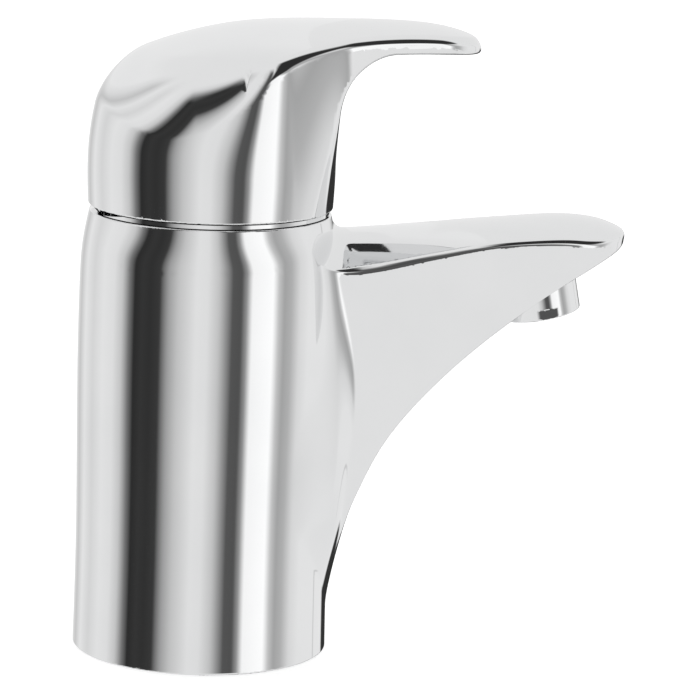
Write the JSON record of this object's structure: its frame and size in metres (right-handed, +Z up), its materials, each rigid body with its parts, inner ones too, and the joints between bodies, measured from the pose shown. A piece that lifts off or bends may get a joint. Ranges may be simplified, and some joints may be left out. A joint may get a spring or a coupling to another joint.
{
  "type": "bathroom mixer faucet",
  "caption": "Single-lever basin mixer: round cast body with a tapering spout, ceramic cartridge, lever that lifts and swings, and an aerator.",
  "frame": {"origin": "centre of the round foot, on the deck plane", "axes": "+X along the spout, +Z up, +Y to the left of someone looking along the spout from behind"},
  "size_m": [0.1176, 0.0548, 0.1341],
  "materials": {
    "chrome": "polished chrome plate",
    "brass": "machined brass",
    "steel": "turned stainless steel",
    "cartridge_plastic": "moulded acetal",
    "dark_plastic": "moulded glass-filled plastic",
    "rubber": "matt black rubber",
    "ceramic": "lapped alumina ceramic",
    "index": "gloss plastic plug",
    "screen": "woven stainless screen"
  },
  "bodies": {
    "body": {"body_casting": "chrome", "retaining_nut": "brass", "cartridge_housing": "cartridge_plastic", "cartridge_base": "dark_plastic", "locating_pins": "steel", "port_seals": "rubber", "body_o_ring": "rubber", "fixed_disc": "ceramic", "limit_ring": "dark_plastic", "aerator_housing": "chrome", "aerator_insert": "dark_plastic", "mesh_screen": "screen", "aerator_washer": "rubber", "base_gasket": "rubber"},
    "turret": {"rotor": "cartridge_plastic", "swivel_head": "chrome", "head_screws": "steel"},
    "slider": {"disc_carrier": "cartridge_plastic", "moving_disc": "ceramic"},
    "lever": {"handle": "chrome", "hinge_pin": "steel", "stem": "brass", "grub_screw": "steel", "index_plug": "index"}
  },
  "joints": [
    {"name": "swing", "type": "hinge", "parent": "body", "child": "turret", "pos_m": [0, 0, 0.0938], "axis": [0, 0, 1], "range_deg": [-50, 50]},
    {"name": "lift", "type": "hinge", "parent": "turret", "child": "lever", "pos_m": [-0.021, 0, 0.0985], "axis": [0, -1, 0], "range_deg": [0, 15]},
    {"name": "disc_slide", "type": "slide", "parent": "turret", "child": "slider", "axis": [1, 0, 0], "range_m": [0, 0.0042]}
  ],
  "couplings": [
    {"joint": "disc_slide", "follows": "lift", "m_per_rad": 0.0152}
  ]
}
